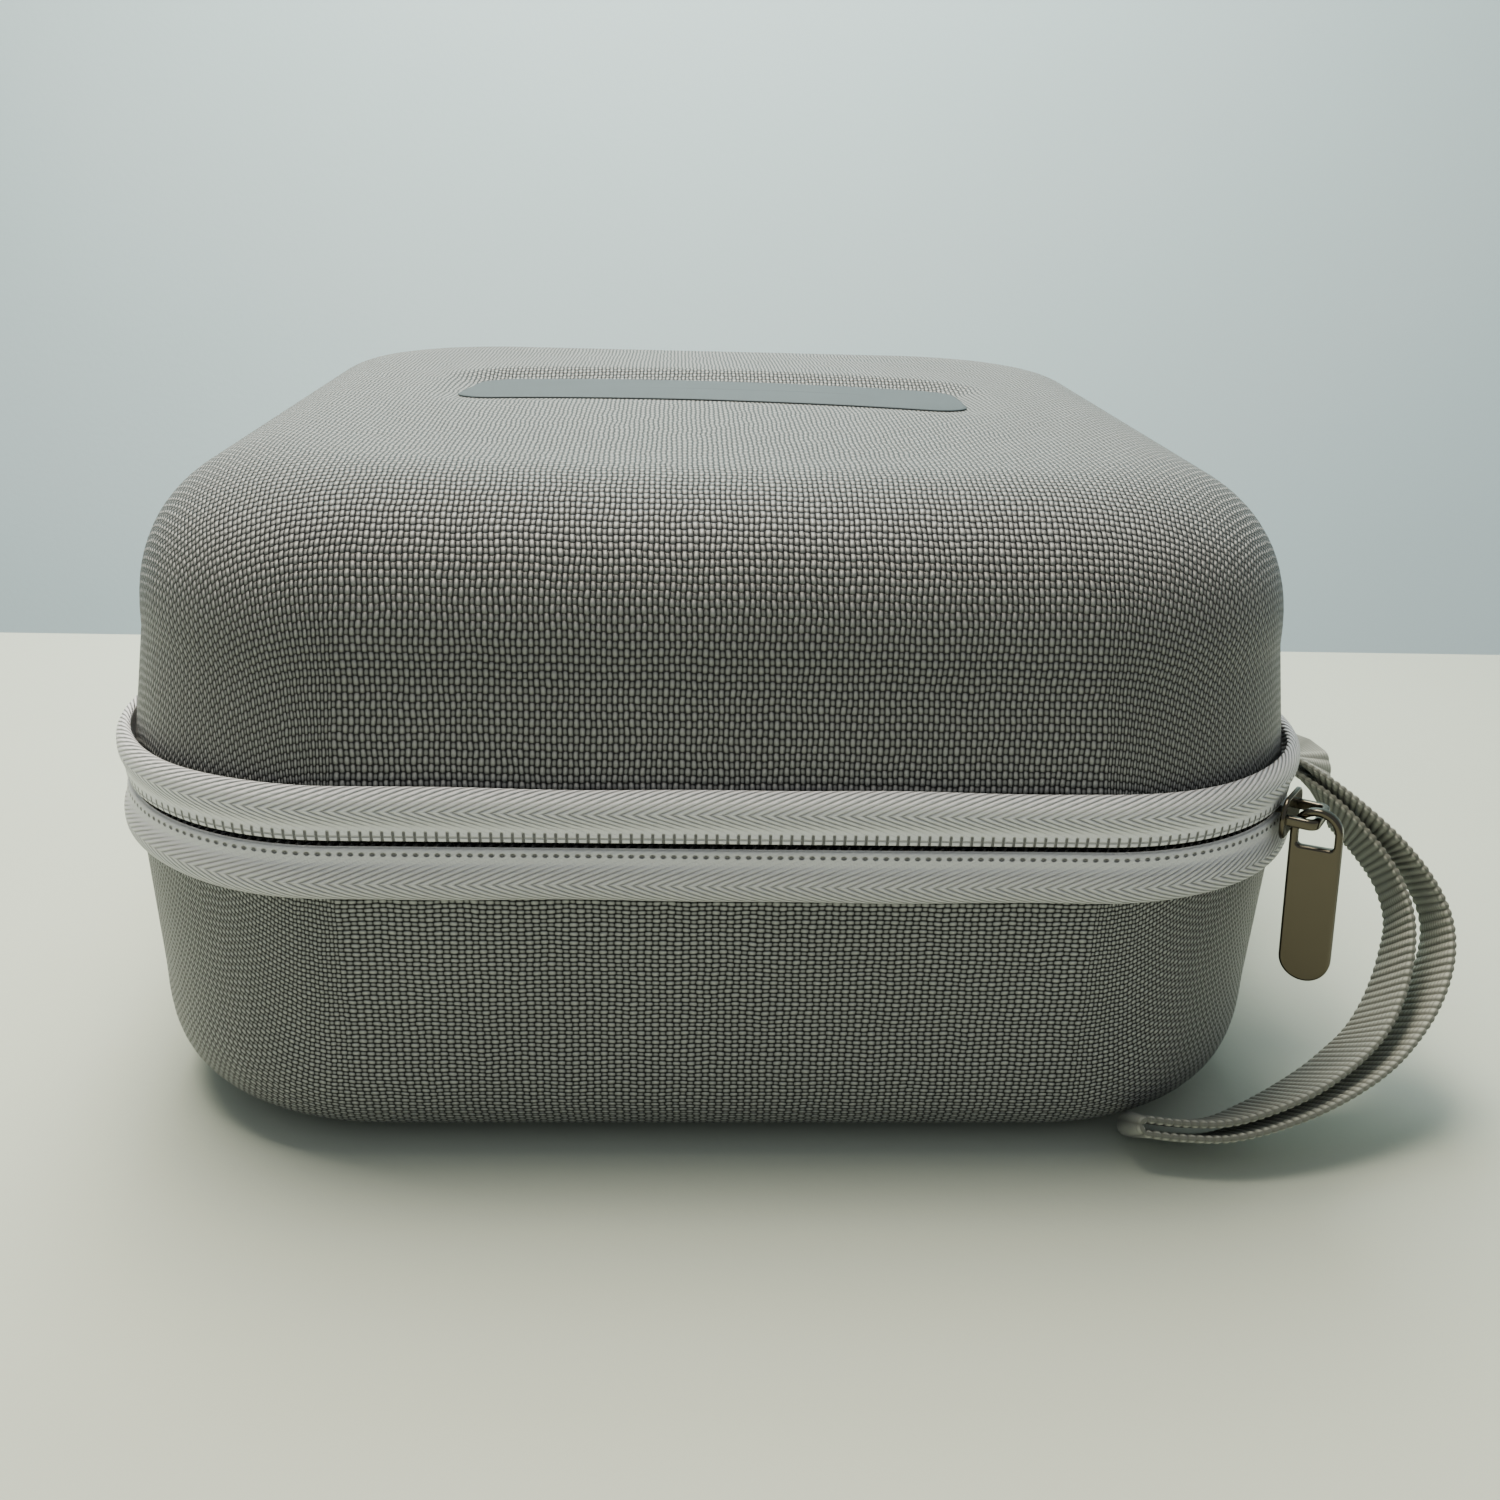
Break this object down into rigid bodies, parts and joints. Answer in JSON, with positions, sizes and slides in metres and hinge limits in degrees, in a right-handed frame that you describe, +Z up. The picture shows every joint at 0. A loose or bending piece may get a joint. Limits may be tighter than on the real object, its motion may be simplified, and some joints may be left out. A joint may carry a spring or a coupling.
{
  "type": "miniature carry case",
  "caption": "Zipped hard-shell carry case with a hinged lid, a wrist strap and a foam tray with pockets for small figures.",
  "frame": {"origin": "centre of the flat bottom face that the case rests on", "axes": "+Z up out of the lid, -Y towards the front with the zip, +Y towards the cloth hinge, +X towards the wrist strap"},
  "size_m": [0.2218, 0.2062, 0.1086],
  "materials": {
    "shell_cloth": "woven nylon bonded to moulded foam sheet",
    "lining": "brushed knit lining",
    "piping": "folded grosgrain binding",
    "zip_tape": "herringbone woven polyester tape",
    "zip_coil": "nylon coil teeth",
    "zip_metal": "black-nickel plated zinc die casting",
    "webbing": "ribbed polyester webbing",
    "ribbon": "narrow grosgrain ribbon",
    "foam": "open-cell polyurethane foam, die cut",
    "lid_foam": "convoluted polyurethane foam",
    "badge": "plain woven patch, no lettering"
  },
  "bodies": {
    "case": {"base_shell": "shell_cloth", "base_lining": "lining", "base_rim_piping": "piping", "lower_zip_tape": "zip_tape", "lower_zip_coil": "zip_coil", "base_hinge_cloth": "shell_cloth", "zip_stop_left": "zip_metal", "zip_stop_right": "zip_metal", "strap_anchor": "webbing", "floor_pad": "foam", "foam_tray": "foam", "tray_tab_left": "ribbon", "tray_tab_right": "ribbon"},
    "lid": {"lid_shell": "shell_cloth", "lid_lining": "lining", "lid_rim_piping": "piping", "upper_zip_tape": "zip_tape", "upper_zip_coil": "zip_coil", "lid_hinge_cloth": "shell_cloth", "lid_badge": "badge", "lid_pad": "lid_foam"},
    "slider": {"zip_slider": "zip_metal", "slider_bridge": "zip_metal"},
    "pull": {"zip_pull": "zip_metal"},
    "strap": {"wrist_strap": "webbing"}
  },
  "joints": [
    {"name": "lid_hinge", "type": "hinge", "parent": "case", "child": "lid", "pos_m": [0, 0.1025, 0.056], "axis": [-1, 0, 0], "range_deg": [0, 170]},
    {"name": "slider_travel", "type": "hinge", "parent": "case", "child": "slider", "pos_m": [0.057, -0.062, 0.056], "axis": [0, 0, 1], "range_deg": [-56, 22]},
    {"name": "pull_swing", "type": "hinge", "parent": "slider", "child": "pull", "pos_m": [0.09456, -0.08733, 0.056], "axis": [-0.5592, -0.829, 0], "range_deg": [0, 170]},
    {"name": "strap_swing", "type": "hinge", "parent": "case", "child": "strap", "pos_m": [0.1012, -0.0475, 0.0556], "axis": [0, -1, 0], "range_deg": [0, 90]}
  ]
}
